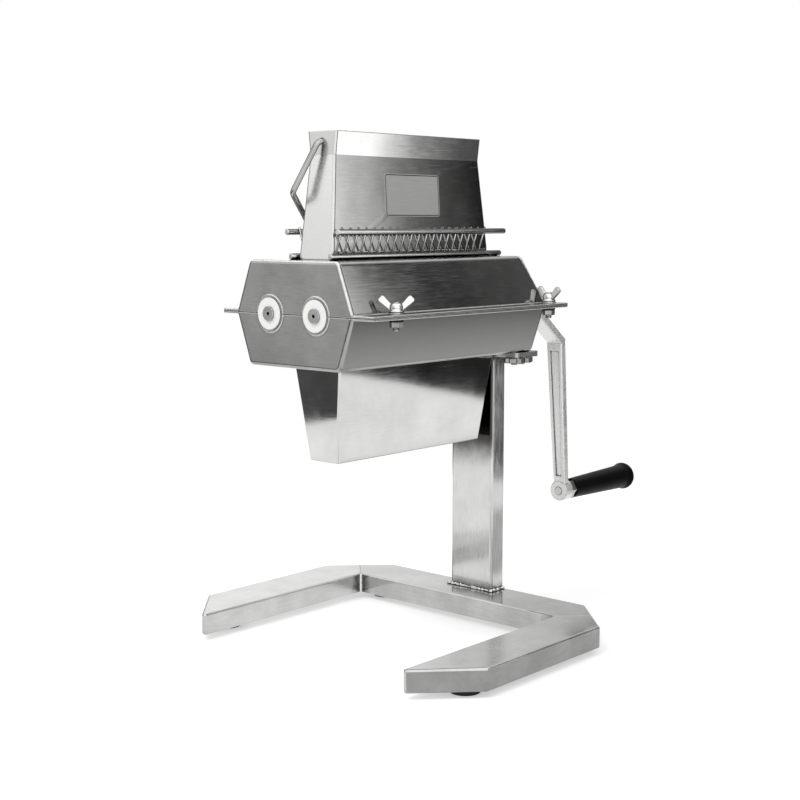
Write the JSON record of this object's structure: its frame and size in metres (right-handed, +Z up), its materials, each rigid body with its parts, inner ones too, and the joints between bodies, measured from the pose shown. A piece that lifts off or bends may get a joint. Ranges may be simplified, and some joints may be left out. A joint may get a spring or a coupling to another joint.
{
  "type": "crank meat tenderizer machine",
  "caption": "Hand-cranked meat tenderizer: geared toothed rollers in a folded steel head with a feed hood and chute, on a column over a C-shaped tube base.",
  "frame": {"origin": "on the floor, under the middle of the whole machine's bounding box", "axes": "+X along the rollers towards the crank, +Y from the crank roller's side of the head towards the rear roller, +Z up"},
  "size_m": [0.4718, 0.34, 0.455],
  "materials": {
    "base_steel": "stainless tube, ground along its length",
    "column_steel": "stainless tube, polished wide faces",
    "weld_steel": "bright weld beads, not ground",
    "plate_steel": "stainless plate, mill finish",
    "head_sheet": "folded stainless sheet, polished, ground along the welded edges",
    "chute_sheet": "folded stainless sheet, satin polish",
    "hood_sheet": "folded stainless sheet, polished",
    "plain_plate": "thin plain plate, satin",
    "rod_steel": "bright drawn rod",
    "wire_steel": "bright drawn wire, spot welded",
    "fastener_steel": "stainless fasteners, turned",
    "wing_nut_steel": "bright forged wing nuts",
    "spring_steel": "hardened spring steel",
    "shaft_steel": "ground shaft",
    "blade_steel": "ground blade steel",
    "spacer_steel": "turned sleeves",
    "gear_steel": "machined gears",
    "cast_aluminium": "cast and tumbled, satin",
    "spindle_steel": "turned steel",
    "white_nylon": "turned white nylon",
    "black_plastic": "moulded, soft gloss",
    "foot_rubber": "moulded rubber",
    "washer_rubber": "moulded rubber"
  },
  "bodies": {
    "base": {"base_front_arm": "base_steel", "base_rear_arm": "base_steel", "base_back_bar": "base_steel", "rubber_feet": "foot_rubber", "foot_screws": "fastener_steel", "column": "column_steel", "column_weld": "weld_steel", "head_mount_plate": "plate_steel", "mount_nuts": "fastener_steel", "lower_housing": "head_sheet", "discharge_chute": "chute_sheet", "flange_bolts": "fastener_steel", "lower_washers": "washer_rubber", "lower_nuts": "fastener_steel", "front_left_bush": "white_nylon", "front_right_bush": "white_nylon", "rear_left_bush": "white_nylon", "rear_right_bush": "white_nylon"},
    "cover": {"upper_housing": "head_sheet", "upper_washers": "fastener_steel"},
    "front_roller": {"front_shaft": "shaft_steel", "front_blades": "blade_steel", "front_spacers": "spacer_steel", "front_circlip": "spring_steel", "front_gear": "gear_steel", "front_gear_key": "shaft_steel", "crank_arm": "cast_aluminium", "crank_washer": "fastener_steel", "crank_screw": "fastener_steel", "grip_spindle": "spindle_steel", "grip_washer": "fastener_steel", "grip_screw": "fastener_steel"},
    "rear_roller": {"rear_shaft": "shaft_steel", "rear_blades": "blade_steel", "rear_spacers": "spacer_steel", "rear_circlip": "spring_steel", "rear_gear": "gear_steel", "rear_gear_key": "shaft_steel"},
    "grip": {"grip": "black_plastic", "grip_cap": "black_plastic"},
    "front_comb": {"front_comb_rods": "rod_steel", "front_comb_wires": "wire_steel"},
    "rear_comb": {"rear_comb_rods": "rod_steel", "rear_comb_wires": "wire_steel"},
    "hood": {"hood_shell": "hood_sheet", "hood_blank_plate": "plain_plate"},
    "bail": {"hood_bail": "rod_steel", "bail_washers": "fastener_steel"},
    "wing_nut_front_left": {"wing_nut_front_left": "wing_nut_steel"},
    "wing_nut_front_right": {"wing_nut_front_right": "wing_nut_steel"},
    "wing_nut_rear_left": {"wing_nut_rear_left": "wing_nut_steel"},
    "wing_nut_rear_right": {"wing_nut_rear_right": "wing_nut_steel"}
  },
  "joints": [
    {"name": "crank_turn", "type": "hinge", "parent": "base", "child": "front_roller", "pos_m": [-0.23315, -0.027, 0.303], "axis": [1, 0, 0], "continuous": true},
    {"name": "rear_roller_turn", "type": "hinge", "parent": "base", "child": "rear_roller", "pos_m": [-0.23315, 0.027, 0.303], "axis": [1, 0, 0], "continuous": true},
    {"name": "grip_turn", "type": "hinge", "parent": "front_roller", "child": "grip", "pos_m": [0.13135, -0.027, 0.109], "axis": [1, 0, 0], "continuous": true},
    {"name": "cover_lift", "type": "slide", "parent": "base", "child": "cover", "axis": [0, 0, 1], "range_m": [0, 0.12]},
    {"name": "front_comb_lift", "type": "slide", "parent": "cover", "child": "front_comb", "axis": [0, 0, 1], "range_m": [0, 0.09]},
    {"name": "rear_comb_lift", "type": "slide", "parent": "cover", "child": "rear_comb", "axis": [0, 0, 1], "range_m": [0, 0.09]},
    {"name": "hood_lift", "type": "slide", "parent": "front_comb", "child": "hood", "axis": [0, 0, 1], "range_m": [0, 0.12]},
    {"name": "bail_swing", "type": "hinge", "parent": "hood", "child": "bail", "pos_m": [-0.1014, 0, 0.4465], "axis": [1, 0, 0], "range_deg": [0, 310]},
    {"name": "wing_nut_front_left_turn", "type": "hinge", "parent": "cover", "child": "wing_nut_front_left", "pos_m": [-0.19215, -0.079, 0.3062], "axis": [0, 0, 1], "continuous": true},
    {"name": "wing_nut_front_right_turn", "type": "hinge", "parent": "cover", "child": "wing_nut_front_right", "pos_m": [0.01885, -0.079, 0.3062], "axis": [0, 0, 1], "continuous": true},
    {"name": "wing_nut_rear_left_turn", "type": "hinge", "parent": "cover", "child": "wing_nut_rear_left", "pos_m": [-0.19215, 0.079, 0.3062], "axis": [0, 0, 1], "continuous": true},
    {"name": "wing_nut_rear_right_turn", "type": "hinge", "parent": "cover", "child": "wing_nut_rear_right", "pos_m": [0.01885, 0.079, 0.3062], "axis": [0, 0, 1], "continuous": true}
  ],
  "couplings": [
    {"joint": "rear_roller_turn", "follows": "crank_turn", "ratio": -1},
    {"joint": "rear_comb_lift", "follows": "front_comb_lift", "ratio": 1}
  ]
}
